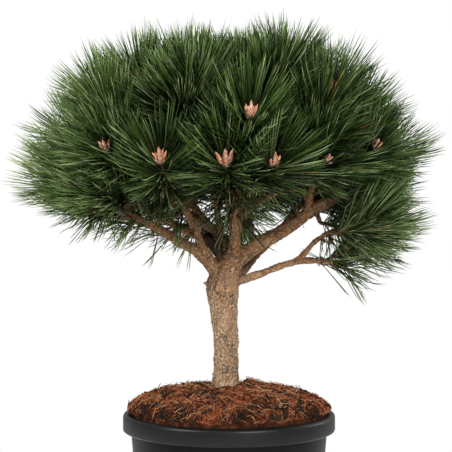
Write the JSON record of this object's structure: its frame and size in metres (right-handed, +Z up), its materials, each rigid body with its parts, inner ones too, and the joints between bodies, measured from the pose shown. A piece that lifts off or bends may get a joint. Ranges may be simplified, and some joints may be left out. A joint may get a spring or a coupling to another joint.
{
  "type": "potted black pine",
  "caption": "Potted black pine grown as an umbrella on a short clear stem, with spreading boughs, long needles and salmon spring buds, in a round black nursery pot.",
  "frame": {"origin": "centre of the pot's flat underside, which stands on the ground", "axes": "+Z up along the stem; -Y is the front, towards the picture's camera; +X is the picture's right"},
  "size_m": [0.6152, 0.5914, 0.8137],
  "materials": {
    "pot": "satin black moulded plastic",
    "soil": "loose bark and coir compost",
    "bark": "scaly young pine bark",
    "needles": "waxy evergreen needles"
  },
  "bodies": {
    "root": {"bough_front": "bark", "bough_front_left": "bark", "bough_front_right": "bark", "bough_left": "bark", "bough_left_rear": "bark", "bough_low_right": "bark", "bough_low_right_front": "bark", "bough_rear_left": "bark", "bough_rear_right": "bark", "bough_right": "bark", "bough_right_fork": "bark", "bough_right_rear": "bark", "bough_shoulder_left": "bark", "bough_shoulder_rear": "bark", "bough_shoulder_rear_left": "bark", "bough_shoulder_rear_right": "bark", "bough_top_front": "bark", "bough_top_left": "bark", "bough_top_rear": "bark", "bough_upper_front": "bark", "bough_upper_front_left": "bark", "bough_upper_left": "bark", "bough_upper_rear_left": "bark", "bough_upper_right": "bark", "bough_upper_right_rear": "bark", "needles_front": "needles", "needles_front_left": "needles", "needles_front_right": "needles", "needles_left": "needles", "needles_left_rear": "needles", "needles_low_right": "needles", "needles_low_right_front": "needles", "needles_rear_left": "needles", "needles_rear_right": "needles", "needles_right": "needles", "needles_right_fork": "needles", "needles_right_rear": "needles", "needles_shoulder_left": "needles", "needles_shoulder_rear": "needles", "needles_shoulder_rear_left": "needles", "needles_shoulder_rear_right": "needles", "needles_top_front": "needles", "needles_top_left": "needles", "needles_top_rear": "needles", "needles_upper_front": "needles", "needles_upper_front_left": "needles", "needles_upper_left": "needles", "needles_upper_rear_left": "needles", "needles_upper_right": "needles", "needles_upper_right_rear": "needles", "pot": "pot", "soil": "soil", "trunk": "bark"}
  },
  "joints": []
}
